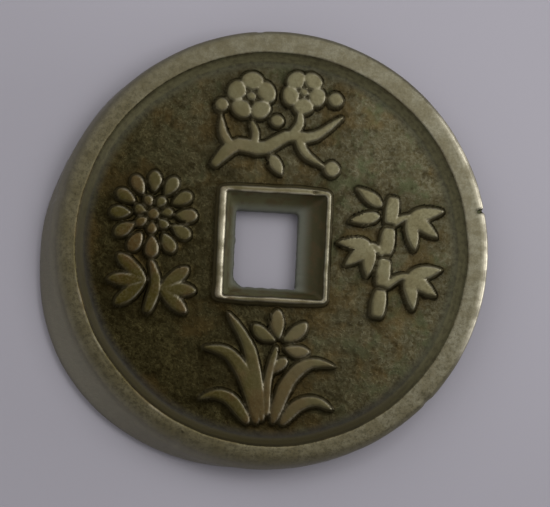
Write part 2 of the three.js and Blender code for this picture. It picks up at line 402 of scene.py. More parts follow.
def bamboo_sprig():
    pitch = 3.4
    joint = 0.35
    lean = 0.1
    foot_x, foot_y = -1.5, -6.9
    drawn = []
    for index in range(4):
        low = index * pitch
        high = low + pitch - joint
        ends = [(foot_x + lean * up, foot_y + up) for up in (low, high)]
        drawn.append(stroke(ends, 1.55, 0.5, 0.16))
    drawn += [
        stroke([(-0.7, -3.6), (0.6, -2.5), (1.8, -2.1)], 0.7, 0.4, 0.3),
        stroke([(-1.1, -0.2), (-1.9, 0.7), (-2.6, 1)], 0.7, 0.4, 0.3),
        stroke([(-0.1, 3.2), (0.8, 4), (1.8, 4.3)], 0.7, 0.4, 0.3),
        leaf(-1.4, 5.2, 146, 3.4, 1.4, 0.4),
        leaf(-1.6, 4.2, 194, 3.4, 1.4, 0.4),
    ]
    for x, y, length, angles in (
        (1.8, -2.1, 3.8, (12, -34, -80)),
        (-2.5, 1, 3.6, (180, 222, 266)),
        (1.7, 4.3, 3.8, (12, -34, -80)),
    ):
        drawn += [leaf(x, y, angle, length, 1.5, 0.4) for angle in angles]
    return drawn


def orchid_sprig():
    return [
        stroke([(-0.9, -6.3), (-2.1, -1.8), (-4.2, 1.1), (-7.1, 1.7)], 1.5, 0.4, 0.5),
        stroke([(-0.3, -6), (-1.4, -0.6), (-2.5, 2.6), (-4.5, 5.5)], 1.4, 0.4, 0.5),
        stroke([(0.8, -6.2), (2.1, -2), (4.4, 0.4), (7.2, 0.3)], 1.5, 0.4, 0.5),
        stroke([(1.7, -6.3), (3.4, -4.2), (5.4, -3.6), (7.2, -4.4)], 1.35, 0.4, 0.5),
        stroke([(-1.8, -6.3), (-3.6, -4), (-5.5, -3.3), (-7.2, -3.9)], 1.35, 0.4, 0.5),
        stroke([(0.1, -5.4), (0.1, -1.5), (0.9, 2.1)], 0.9, 0.4, 0.25),
        leaf(1.1, 2.9, 94, 3.2, 1.5, 0.55, 0.55, 0.2),
        leaf(0.7, 2.7, 146, 3, 1.4, 0.55, 0.55, 0.2),
        leaf(1.6, 2.7, 42, 3.2, 1.5, 0.55, 0.55, -0.2),
        leaf(1.7, 2, 354, 2.8, 1.35, 0.55, 0.55, -0.2),
        leaf(0.6, -0.8, 52, 2.2, 1.2, 0.6, 0.5),
    ]


def chrysanthemum_sprig():
    x, y = 0.0, 3.0
    return [
        *petals(x, y, 12, 2.35, 4.7, 1.45, 90),
        *petals(x, y, 7, 0.85, 2.15, 1.05, 112),
        dot(x, y, 0.6),
        stroke([(0, -2), (0.6, -4.4), (-0.2, -7.6)], 1.15, 0.6, 0.25),
        *[leaf(-0.4, -4.2, angle, 4.2, 1.45, 0.58, 0.55) for angle in (140, 180, 220)],
        *[leaf(1.1, -5, angle, 3.8, 1.45, 0.58, 0.55) for angle in (40, 0, 320)],
    ]


def spline(points, count):
    """Stations along a Catmull-Rom curve through points, closer together at its ends, and their tangents."""
    last = len(points) - 1
    position = np.linspace(0.0, last, CURVE_STEPS)
    index = np.minimum(position.astype(int), last - 1)
    w = (position - index)[:, None]
    before, start = points[np.maximum(index - 1, 0)], points[index]
    end, after = points[index + 1], points[np.minimum(index + 2, last)]
    start_slope, end_slope = (end - before) / 2.0, (after - start) / 2.0
    cubic = (2.0 * start - 2.0 * end + start_slope + end_slope) * w**3
    square = (-3.0 * start + 3.0 * end - 2.0 * start_slope - end_slope) * w**2
    curve = cubic + square + start_slope * w + start
    run = np.concatenate([[0.0], np.cumsum(np.hypot(*np.diff(curve, axis=0).T))])
    share = (1.0 - np.cos(np.pi * np.arange(count + 1) / count)) / 2.0
    slope = np.gradient(curve, axis=0)
    stations = np.stack([np.interp(share * run[-1], run, curve[:, k]) for k in (0, 1)], axis=1)
    tangents = np.stack([np.interp(share * run[-1], run, slope[:, k]) for k in (0, 1)], axis=1)
    return share, stations, tangents / np.linalg.norm(tangents, axis=1, keepdims=True)


def outline(one, unit, middle):
    """The closed outline of one stroke, on the coin."""
    share, stations, tangents = spline(one["points"], OUTLINE_STATIONS)
    skew = math.log(0.5) / math.log(one["widest"])
    bell = np.clip(np.sin(np.pi * share**skew), 0.0, 1.0) ** one["fullness"]
    bell[[0, -1]] = 0.0
    half = (one["width"] * bell / 2.0 * unit)[:, None]
    across = np.stack([-tangents[:, 1], tangents[:, 0]], axis=1)
    spine = stations * unit + np.array(middle)
    return np.concatenate([spine - across * half, (spine + across * half)[-2:0:-1]])


def sprig_outlines():
    """Every stroke of the four sprigs, as a closed outline on the coin."""
    inner = {side: abs(edge) + HOLE_RIM_DRAFT for side, edge in HOLE_RIM.items()}
    band = FRONT_LAND - FRONT_DRAFT - max(inner.values()) - GAP_TO_OUTER_RIM - GAP_TO_HOLE_RIM
    unit = band / (2.0 * TILE_HALF)
    out = {side: start + GAP_TO_HOLE_RIM + TILE_HALF * unit for side, start in inner.items()}
    sprigs = (
        (plum_sprig(), (0.0, out["top"])),
        (bamboo_sprig(), (out["right"], 0.0)),
        (orchid_sprig(), (0.0, -out["bottom"])),
        (chrysanthemum_sprig(), (-out["left"], 0.0)),
    )
    return [outline(one, unit, middle) for strokes, middle in sprigs for one in strokes]


FAR_AWAY = 3.0
outlines = sprig_outlines()


def relief_distance(x, y):
    """Signed distance from the strokes, negative inside, with the wobble of a hand-cut mould."""
    best = np.full(x.shape, FAR_AWAY)
    for ring in outlines:
        low = ring.min(axis=0) - FAR_AWAY / 2.0
        high = ring.max(axis=0) + FAR_AWAY / 2.0
        near = (x > low[0]) & (x < high[0]) & (y > low[1]) & (y < high[1])
        px, py = x[near], y[near]
        square = np.full(px.shape, FAR_AWAY**2)
        inside = np.zeros(px.shape, bool)
        for (ax, ay), (bx, by) in zip(ring, np.roll(ring, -1, axis=0)):
            ex, ey = bx - ax, by - ay
            t = np.clip(((px - ax) * ex + (py - ay) * ey) / max(ex * ex + ey * ey, 1e-12), 0.0, 1.0)
            square = np.minimum(square, (px - ax - t * ex) ** 2 + (py - ay - t * ey) ** 2)
            if ay != by:
                inside ^= ((ay > py) != (by > py)) & (px < ax + (py - ay) * ex / ey)
        found = np.sqrt(square)
        best[near] = np.minimum(best[near], np.where(inside, -found, found))
    return best + uneven(x, y, "stroke outline")


def bow(x, y):
    share = (2.0 * x - HOLE_RIM["left"] - HOLE_RIM["right"]) / (HOLE_RIM["right"] - HOLE_RIM["left"])
    arch = np.clip(1.0 - share**4, 0.0, 1.0)
    return arch * (TOP_BOW * smooth(y / HOLE_RIM["top"]) - BOTTOM_BOW * smooth(y / HOLE_RIM["bottom"]))


def hole_rim_distance(x, y):
    bowed = box_distance(x, y - bow(x, y), HOLE_RIM, HOLE_RIM_CORNER)
    return bowed + uneven(x, y, "hole rim outline")


def mouth_distance(x, y):
    lowered = y + BOTTOM_BOW * smooth(y / MOUTH["bottom"])
    return box_distance(x, lowered, MOUTH, MOUTH_CORNER) + uneven(x, y, "mouth outline")


def axis_distance(x, y):
    return np.hypot(x, y) + uneven(x, y, "outer rim outline")


def climb(distance, draft):
    """0 beyond the foot of a wall, 1 past its top edge, where distance is 0 at the top edge."""
    return smooth((draft + SOFTEN - distance) / (draft + 2.0 * SOFTEN))


def line(distance, width):
    """1 where distance is 0, and less and less over width on both sides."""
    return np.exp(-((distance / width) ** 2))


def shine(name, distance, share=0.0):
    """How much an edge is polished and given a painted highlight at a distance from it, and for a share of
    its full shine.
    """
    middle, width, least, more = SHINE[name]
    return (least + more * share) * line(distance - middle, width)


def wall_mark(share):
    """1 on a wall and 0 above and below it, where share goes from 0 at its foot to 1 at its top."""
    return rise(share, 0.0, WALL_FOOT) * rise(1.0 - share, 0.0, WALL_TOP)


def on_side(x, y, side):
    """1 on one side of the coin and 0 on the other."""
    middle, low, high = side
    return rise(np.cos(np.arctan2(y, x) - middle), low, high)


def on_left_bar(x):
    return fade(x - MOUTH["left"], LEFT_BAR_BLEND)


def off_angle(x, y, middle):
    """A point's compass angle from middle, in degrees from -180 to 180."""
    return (np.degrees(np.arctan2(y, x)) - middle + 180.0) % 360.0 - 180.0


def nicked(x, y):
    """How deep the edge is knocked in at a point's compass angle."""
    depth = np.zeros_like(x)
    for middle, width, most in NICKS:
        depth += most * np.exp(-((off_angle(x, y, middle) / width) ** 4))
    return depth


def front_field(x, y, relief, hole_rim, outer_rim):
    field = FRONT_FIELD + uneven(x, y, "front field") + uneven(x, y, "front grain")
    field += FIELD_SWELL * fade(np.minimum(relief, hole_rim), FIELD_SWELL_WIDTH)
    field += RIM_FILLET * fade(outer_rim - FRONT_DRAFT, RIM_FILLET_WIDTH)
    return field


def front_tops(x, y, relief, axis, broken):
    """Heights of the strokes, the hole's rim and the outer rim."""
    worn = uneven(x, y, "front tops")
    crowned = RELIEF_CROWN * fade(-relief, CROWN_WIDTH)
    across_land = np.clip((axis - FRONT_LAND) / (OUTER_RADIUS - FRONT_LAND), 0.0, 1.0)
    fall = LAND_FALL * across_land**LAND_CURVE + KNOCK_FALL * nicked(x, y) * rise(axis, *KNOCK_REACH)
    return (
        RELIEF_TOP - TOP_WEAR - crowned + worn,
        HOLE_RIM_TOP - TOP_WEAR + HOLE_RIM_WORN * worn - broken,
        THICKNESS - fall + np.minimum(LAND_WORN * worn - LAND_SKIM, 0.0),
    )


def mouth_bevel(x, mouth):
    """How far the land is rounded off at the mouth of the hole."""
    bevel = MOUTH_EDGE + (MOUTH_EDGE_LEFT - MOUTH_EDGE) * on_left_bar(x)
    cut = np.clip(bevel - mouth, 0.0, bevel)
    return MOUTH_EDGE_FALL * (bevel - np.sqrt(bevel**2 - cut**2))


def faces_light(x, y, relief):
    """1 on the sides of the strokes that face STROKE_LIT_SIDE and 0 on the others."""
    step_x = LIGHT_STEP * math.cos(STROKE_LIT_SIDE)
    step_y = LIGHT_STEP * math.sin(STROKE_LIT_SIDE)
    slope = (relief_distance(x + step_x, y + step_y) - relief) / LIGHT_STEP
    return rise(slope, *LIT_SLOPE)


# Polished edges, with painted highlights where the shares pick the parts that face the light
def polished_and_highlit_edges(x, y, relief, hole_rim, outer_rim, mouth):
    stretches = smooth(0.5 + uneven(x, y, "shining stretches"))
    lines = (
        shine("strokes", relief, faces_light(x, y, relief)),
        shine("hole rim", hole_rim, fade(MOUTH["right"] - x, RIGHT_BAR_BLEND)),
        shine("outer rim", outer_rim, on_side(x, y, RIM_HIGHLIGHT_SIDE) * stretches),
        shine("left bar", mouth, on_left_bar(x)),
        shine("left land", mouth, on_left_bar(x)),
        shine("mouth", mouth),
    )
    return np.maximum.reduce(lines)


def front_surface(x, y):
    """Height of the front, and the marks for its material."""
    relief = relief_distance(x, y)
    hole_rim = hole_rim_distance(x, y)
    axis = axis_distance(x, y)
    outer_rim = FRONT_LAND - axis
    mouth = mouth_distance(x, y)
    broken = BREAK_DEPTH * np.exp(-((x - BREAK[0]) ** 2 + (y - BREAK[1]) ** 2) / BREAK_SIZE**2)
    field = front_field(x, y, relief, hole_rim, outer_rim)
    rim_climb = climb(outer_rim, FRONT_DRAFT + RIM_FOOT)
    climbs = (climb(relief, RELIEF_DRAFT), climb(hole_rim, HOLE_RIM_DRAFT), rim_climb)
    height = field
    wall = np.zeros_like(x)
    for share, top in zip(climbs, front_tops(x, y, relief, axis, broken)):
        height = np.maximum(height, field + (top - field) * share)
        wall = np.maximum(wall, wall_mark(share))
    height = height - mouth_bevel(x, mouth)

    raised = np.maximum.reduce((climbs[0], climbs[1] * (1.0 - broken), rise(rim_climb, LAND_START, 1.0)))
    foot = np.minimum(relief - RELIEF_DRAFT, hole_rim - HOLE_RIM_DRAFT)
    dirt_and_shade_width = np.maximum(DIRT_AND_SHADE_WIDTH + uneven(x, y, "dirt and shade width"), LEAST_DIRT_AND_SHADE_WIDTH)
    marks = {
        "raised": raised,
        "wall": wall,
        # Darker beside the feet of raised parts: grime with painted shade
        "dirt_and_shade": np.exp(-np.maximum(foot, 0.0) / dirt_and_shade_width) * (1.0 - raised),
        "patina": fade(outer_rim - FRONT_DRAFT, RIM_FILLET_WIDTH) * rise(1.0 - rim_climb, 0.0, PATINA_TOP),
        # Polished edges with painted highlights
        "edge": polished_and_highlit_edges(x, y, relief, hole_rim, outer_rim, mouth),
    }
    return height, marks


def back_surface(x, y):
    """Height of the back, and the marks for its material."""
    hole_rim = box_distance(x, y, BACK_RIM, HOLE_RIM_CORNER) + uneven(x, y, "back rim outline")
    outer_rim = axis_distance(x, y)
    field = BACK_FIELD + uneven(x, y, "back field") + uneven(x, y, "back grain")
    hole_share = climb(hole_rim, HOLE_RIM_DRAFT)
    outer_share = climb(BACK_LAND - outer_rim, BACK_DRAFT)
    worn = worn_off(x, y, "back tops")
    fall = HOLE_RIM_BACK * np.clip((outer_rim - BACK_LAND) / (OUTER_RADIUS - BACK_LAND), 0.0, 1.0)
    hole_height = field + (HOLE_RIM_BACK + worn - field) * hole_share
    outer_height = field + (np.maximum(worn - BACK_SKIM, 0.0) + fall - field) * outer_share
    raised = np.maximum(hole_share, outer_share)
    foot = np.minimum(hole_rim - HOLE_RIM_DRAFT, BACK_LAND - outer_rim - BACK_DRAFT)
    # Darker beside the feet of the rims: grime with painted shade
    dirt_and_shade = np.exp(-np.maximum(foot, 0.0) / BACK_DIRT_AND_SHADE_WIDTH) * (1.0 - raised)
    marks = {"raised": raised, "wall": wall_mark(raised), "dirt_and_shade": dirt_and_shade}
    return np.minimum(hole_height, outer_height), marks


def snap_to_walls(x, y):
    """Moves grid points that lie close to a stroke's foot, middle or top edge onto that line."""
    level = relief_distance(x, y)
    near = np.abs(level) < SNAP_LOOK
    px, py = x[near], y[near]
    tiny = 0.01
    slope_x = (relief_distance(px + tiny, py) - relief_distance(px - tiny, py)) / (2.0 * tiny)
    slope_y = (relief_distance(px, py + tiny) - relief_distance(px, py - tiny)) / (2.0 * tiny)
    steep = np.maximum(slope_x**2 + slope_y**2, LEAST_SLOPE)
    lines = np.array([RELIEF_DRAFT + SOFTEN, RELIEF_DRAFT / 2.0, -SOFTEN])
    gaps = level[near][:, None] - lines
    closest = np.take_along_axis(gaps, np.abs(gaps).argmin(axis=1)[:, None], axis=1)[:, 0]
    moved = np.where(np.abs(closest) < SNAP_REACH, closest, 0.0) / steep
    x[near] = px - slope_x * moved
    y[near] = py - slope_y * moved
    return x, y


def place(x, y, z):
    """From the straight blank to the coin's frame: the front slides over the back, and all is in metres."""
    share = np.clip((z - SLIDE_DEPTH) / (THICKNESS - 2.0 * SLIDE_DEPTH), 0.0, 1.0) - 0.5
    return np.stack([x + MOULD_SHIFT[0] * share, y + MOULD_SHIFT[1] * share, z], axis=-1) / METRE


class Rows:
    """Closed rows of points, with what the material needs to know at each point."""

    def __init__(self):
        self.points = []
        self.marks = {name: [] for name in MARKS}

    def add(self, x, y, z, **marks):
        self.points.append(place(x, y, z))
        for name, values in self.marks.items():
            values.append(np.broadcast_to(marks.get(name, 0.0), x.shape))

    def add_surface(self, x, y, surface):
        z, marks = surface(x, y)
        for row in range(len(x)):
            self.add(x[row], y[row], z[row], **{name: values[row] for name, values in marks.items()})


def add_front(rows):
    """The hole's rim, the field with the sprigs, and the outer rim up to its shoulder."""
    edge = [reach(mouth_distance, level) for level in (0.0, MOUTH_EDGE * MOUTH_EDGE_ROW)]
    land = between(reach(mouth_distance, MOUTH_EDGE), reach(hole_rim_distance, -SOFTEN), LAND_ROWS)
    wall_levels = np.linspace(-SOFTEN, HOLE_RIM_DRAFT + SOFTEN, WALL_ROWS)
    wall = [reach(hole_rim_distance, level) for level in wall_levels[:-1]]
    field_start = reach(hole_rim_distance, wall_levels[-1])
    foot = FRONT_LAND - FRONT_DRAFT - RIM_FOOT - SOFTEN
    field = between(field_start, reach(axis_distance, foot), FIELD_ROWS)
    slope_levels = np.linspace(foot, FRONT_LAND - RIM_SLOPE_END, WALL_ROWS)
    rim_levels = [*slope_levels, *(FRONT_LAND + np.array(RIM_EDGE_ROWS))]
    rim = [reach(axis_distance, level) for level in rim_levels]
    outer_land = between(rim[-1], shoulder_start(), LAND_ROWS)[1:]
    x, y = on_rays(np.array(edge + land + wall + field + rim + outer_land))
    first = len(edge + land + wall)
    inner = slice(first, first + FIELD_ROWS)
    x[inner], y[inner] = snap_to_walls(x[inner], y[inner])
    rows.add_surface(x, y, front_surface)


def shoulder(x, y):
    """How far the shoulder is rounded at a point's compass angle."""
    return SHARP_SHOULDER + (WORN_SHOULDER - SHARP_SHOULDER) * on_side(x, y, WORN_SIDE)


def shoulder_start():
    return reach(lambda px, py: np.hypot(px, py) + shoulder(px, py), OUTER_RADIUS)


def circle(radius):
    return reach(np.hypot, radius)


def edge_shape():
    """Directions of the columns where they cross the edge, and its front and back radius."""
    x, y = on_rays(circle(OUTER_RADIUS))
    cos, sin = x / OUTER_RADIUS, y / OUTER_RADIUS
    radius = OUTER_RADIUS - worn_off(x, y, "flank")
    filed = np.zeros(COLUMNS)
    for middle, amount, spread in FILED:
        filed += amount * np.exp(-((off_angle(x, y, middle) / spread) ** 2))
    inside_the_box = (OUTER_RADIUS - BOX_GAP) / np.maximum(np.abs(cos), np.abs(sin))
    return cos, sin, radius - nicked(x, y), np.minimum(radius + filed, inside_the_box)


def add_edge(rows):
    """The rounded edge of the front, the flank and the rounded edge of the back."""
    cos, sin, front, back = edge_shape()
    x, y = on_rays(shoulder_start())
    top = front_surface(x, y)[0]
    rounding = shoulder(x, y)
    low = THICKNESS - rounding
    knocked = rise(nicked(x, y), *DARK_KNOCK)
    # A painted highlight on the shoulder, on the side that faces the light, but not in deep knocks
    painted_lit = on_side(x, y, SHOULDER_HIGHLIGHT_SIDE) * (1.0 - knocked)
    for turn in np.linspace(0.0, math.pi / 2.0, SHOULDER_ROWS):
        radius = front - rounding * (1.0 - math.sin(turn))
        z = top - (top - low) * (1.0 - math.cos(turn))
        raised = 1.0 - KNOCK_DARKNESS * knocked
        edge = shine("shoulder", turn, painted_lit)
        rows.add(radius * cos, radius * sin, z, raised=raised, edge=edge, flank=rise(turn, 0.0, FLANK_TURN))
    for share in np.arange(1, FLANK_ROWS + 1) / (FLANK_ROWS + 1):
        z = low - share * (low - EDGE_ROUNDING)
        streaks = 1.0 + noise(ray_angles * OUTER_RADIUS, z * STREAK_SLANT, STREAK_SPACING, STREAK_SEED)
        radius = front + (back - front) * share - STREAK_DEPTH * streaks
        rows.add(radius * cos, radius * sin, z, raised=1.0, flank=1.0)
    for turn in np.linspace(math.pi / 2.0, 0.0, BACK_EDGE_ROWS):
        radius = back - EDGE_ROUNDING * (1.0 - math.sin(turn))
        z = np.full(COLUMNS, EDGE_ROUNDING * (1.0 - math.cos(turn)))
        z = np.maximum(z, HOLE_RIM_BACK * (radius - BACK_LAND) / (OUTER_RADIUS - BACK_LAND))
        rows.add(radius * cos, radius * sin, z, raised=1.0, flank=rise(turn, *BACK_FLANK_TURN))


def box_reach(box, radius, level=0.0, lower_left=None):
    """How far each ray runs until it meets a line round a rectangle with round corners."""
    return reach(lambda x, y: box_distance(x, y, box, radius, lower_left), level)


def add_back(rows):
    """The outer rim, the field and the hole's rim of the back, from the outside in."""
    stops = (
        circle(OUTER_RADIUS - EDGE_ROUNDING - BACK_LAND_START),
        circle(BACK_LAND + SOFTEN),
        circle(BACK_LAND - BACK_DRAFT - SOFTEN),
        box_reach(BACK_RIM, HOLE_RIM_CORNER, HOLE_RIM_DRAFT + SOFTEN),
        box_reach(BACK_RIM, HOLE_RIM_CORNER, -SOFTEN),
        box_reach(shrink(MOUTH, *BACK_INSET), MOUTH_CORNER, BACK_HOLE_EDGE),
    )
    runs = []
    for first, last, count in zip(stops, stops[1:], BACK_ROWS):
        runs += between(first, last, count)
    x, y = on_rays(np.array([*runs, stops[-1]]))
    rows.add_surface(x, y, back_surface)


def throat_reach():
    """The narrowest line of the hole, with the ragged flash in its lower left corner."""
    box = shrink(MOUTH, *THROAT_INSET)
    for side, way in (("left", 0), ("right", 0), ("bottom", 1), ("top", 1)):
        box[side] += THROAT_OFFSET[way]
    throat = box_reach(box, THROAT_CORNER, lower_left=THROAT_FLASH)
    x, y = on_rays(throat)
    return throat - np.abs(uneven(x, y, "throat flash"))


def add_hole(rows):
    """The walls of the hole, from the back up to the front."""
    back = box_reach(shrink(MOUTH, *BACK_INSET), MOUTH_CORNER)
    throat = throat_reach()
    web = box_reach(shrink(MOUTH, *WEB_INSET), THROAT_CORNER)
    mouth = reach(mouth_distance, 0.0)
    x, y = on_rays(mouth)
    high = front_surface(x, y)[0]
    stations = [
        (back, HOLE_START),
        (throat, SEAM_HEIGHT - SEAM_HALF),
        (throat, SEAM_HEIGHT + SEAM_HALF),
        (web, WEB_HEIGHT),
        (mouth, high),
    ]
    for (run, z), (next_run, next_z), count in zip(stations, stations[1:], HOLE_ROWS):
        for i in range(count):
            share = i / count
            here = run + (next_run - run) * share
            height = z + (next_z - z) * share + np.zeros(COLUMNS)
            px, py = on_rays(here)
            swell = uneven(px + SWELL_SLANT * height, py + SWELL_SLANT * height, "hole walls")
            px, py = on_rays(here + (swell if 0 < share or run is web else 0.0))
            depth = rise(high - height, 0.0, MOUTH_BLEND)
            rows.add(px, py, height, raised=1.0 - depth, edge=shine("hole", high - height), depth=depth)


def add_object(name, data):
    made = bpy.data.objects.new(name, data)
    bpy.context.collection.objects.link(made)
    return made


def build_coin():
    """One closed mesh, with rows over the front, the edge, the back and the hole."""
    rows = Rows()
    add_front(rows)
    add_edge(rows)
    add_back(rows)
    add_hole(rows)
    count = len(rows.points)
    points = np.concatenate(rows.points)
    row, column = np.meshgrid(np.arange(count), np.arange(COLUMNS), indexing="ij")

    def corner(on, along):
        return (row + on) % count * COLUMNS + (column + along) % COLUMNS

    quads = np.stack([corner(0, 0), corner(1, 0), corner(1, 1), corner(0, 1)], axis=-1).reshape(-1, 4)
    mesh = bpy.data.meshes.new("coin")
    mesh.from_pydata(points.tolist(), [], quads.tolist())
    for name, values in rows.marks.items():
        attribute = mesh.attributes.new(name, "FLOAT", "POINT")
        attribute.data.foreach_set("value", np.concatenate(values).astype(np.float32))
    mesh.polygons.foreach_set("use_smooth", np.ones(len(quads), bool))
    mesh.update()
    print("triangles", 2 * len(quads), "repaired", mesh.validate(verbose=True))
    return add_object("cast_coin", mesh)


# Materials. Colours are linear.
# Painted light and shade in the field: DEEP_BROWN and OLIVE_BROWN away from the light, DARK_BROWN and
# PALE_OLIVE towards it
DEEP_BROWN = (0.008, 0.0055, 0.001, 1.0)
DARK_BROWN = (0.031, 0.025, 0.01, 1.0)
OLIVE_BROWN = (0.044, 0.037, 0.014, 1.0)
PALE_OLIVE = (0.062, 0.058, 0.037, 1.0)
GREEN_GREY = (0.038, 0.042, 0.021, 1.0)
RED_BROWN = (0.05, 0.032, 0.01, 1.0)
# Painted light and shade on walls: SHADED_PATINA, SHADED_WALL and SHADED_BROWN_WALL away from the light,
# SOFT_GREEN, OLIVE_WALL and BROWN_WALL towards it
SHADED_PATINA = (0.008, 0.0065, 0.003, 1.0)
SOFT_GREEN = (0.048, 0.046, 0.02, 1.0)
SHADED_WALL = (0.03, 0.024, 0.006, 1.0)
OLIVE_WALL = (0.082, 0.076, 0.036, 1.0)
SHADED_BROWN_WALL = (0.032, 0.024, 0.006, 1.0)
BROWN_WALL = (0.066, 0.055, 0.023, 1.0)
# Painted light and shade on the relief and the rims: SHADED_BRASS, RED_BRASS, SHADED_RIM and SHADED_STAIN are
# the darker copies away from the light
RELIEF_BRASS = (0.124, 0.115, 0.066, 1.0)
SHADED_BRASS = (0.034, 0.026, 0.002, 1.0)
RED_BRASS = (0.046, 0.026, 0.005, 1.0)
DULL_BRASS = (0.083, 0.07, 0.033, 1.0)
RIM_BRASS = (0.146, 0.138, 0.1, 1.0)
PITTED_RIM = (0.052, 0.046, 0.026, 1.0)
RIM_STAIN = (0.114, 0.104, 0.069, 1.0)
SHADED_RIM = (0.124, 0.11, 0.066, 1.0)
SHADED_STAIN = (0.1, 0.087, 0.048, 1.0)
FILED_GREY = (0.15, 0.14, 0.112, 1.0)
# Painted light: the hole's walls are paler grey below the throat's height, as if lit from below
LIT_THROAT_GREY = (0.118, 0.124, 0.098, 1.0)
MOUTH_OLIVE = (0.066, 0.063, 0.028, 1.0)
# Painted shade on the hole's right wall, which faces away from the light
SHADED_MOUTH_WALL = (0.032, 0.028, 0.008, 1.0)
# Polished edges with painted highlights
POLISH_AND_HIGHLIGHT_COLOUR = (0.64, 0.6, 0.48, 1.0)
FLOOR_COLOUR = (0.36, 0.35, 0.402, 1.0)
CLOUDED_FLOOR = (0.3456, 0.336, 0.38592, 1.0)
FAR_FLOOR_COLOUR = (0.8, 0.79, 0.83, 1.0)

# Patterns: millimetres across, detail and roughness
PATTERNS = {
    "patches": (5.0, 3.0, 0.6),
    "blotches": (2.1, 4.0, 0.6),
    "shadows": (1.2, 4.0, 0.65),
    "mottle": (0.5, 5.0, 0.7),
    "grain": (0.22, 4.0, 0.7),
}
SPECKLE = 0.45
STREAKS = (0.35, 3.0, 0.6)
STREAK_STRETCH = (1.0, 1.0, 0.08)
FLOOR_CLOUDS = (60.0, 2.0, 0.5)

# How a pattern or a place in metres becomes a share: low and high end, and the shares there if not 0 and 1
RAMPS = {
    "side": (-0.016, 0.016),
    "speckled field": (0.36, 0.62),
    "green patina": (0.48, 0.66, 0.0, 0.9),
    "red patches": (0.5, 0.64, 0.0, 0.5),
    "field shadows": (0.5, 0.66, 0.0, 0.55),
    "lit wall": (-0.012, 0.006),
    "wall spots": (0.36, 0.58, 0.55, 0.0),
    "right wall of the hole": (0.0, 0.006),
    "red hole": (0.45, 0.62, 0.0, 0.6),
    "above the throat": (0.0018, 0.0026),
    "bright relief": (0.38, 0.62, 0.5, 1.0),
    "red relief": (0.46, 0.6),
    "clean rim": (0.4, 0.6),
    "pits": (0.42, 0.54, 1.0, 0.0),
    "lit rim": (0.0, 0.016),
    "outer rim": (0.0195, 0.0205),
    "dull grain": (0.42, 0.66, 0.0, 0.45),
    "worn": (0.74, 1.08),
    "polish_and_highlight": (0.35, 0.6, 0.3, 1.0),
    "field roughness": (0.3, 0.7, 0.34, 0.25),
    "metal roughness": (0.3, 0.7, 0.38, 0.5),
    "mottle height": (0.0, 1.0, 1.0, 0.45),
    "grain height": (0.0, 1.0, 1.0, 0.8),
    "floor clouds": (0.3, 0.7),
    "far floor": (0.08, 0.5),
}

# Directions over the coin, by their shares of x and y: to where colours are painted lighter, as painted
# light, with greener patina there too, and to the light, for the painted light and shade of the walls and the
# rim's pits
PAINTED_LIGHT_WAY = (0.86, 0.5)
LIT_WAY = (0.5, 0.86)

# How far a mark or a pattern goes, and how far pits go where the rim is shaded and lit
DIRT_AND_SHADE_SHARE = 0.62
PATINA_SHARE = 0.85
FLANK_SHARE = 0.8
WORN_BY_MOTTLE = 0.25
PITS = (0.75, 0.4)

# How metallic and how rough each kind of skin is
FIELD_AND_WALL_METAL = (0.95, 0.15)
WORN_AND_FLANK_METAL = (0.82, 0.35)
HOLE_METAL = 0.2
DULL_ROUGHNESS = 0.6
POLISHED_ROUGHNESS = 0.3
HOLE_ROUGHNESS = 0.6
COIN_SPECULAR = 0.3
FLOOR_ROUGHNESS = 0.8
FLOOR_SPECULAR = 0.2

# Bumps: height in millimetres and strength
MOTTLE_BUMPS = (0.06, 0.5)
GRAIN_BUMPS = (0.02, 0.6)
STREAK_BUMPS = (0.08, 0.6)


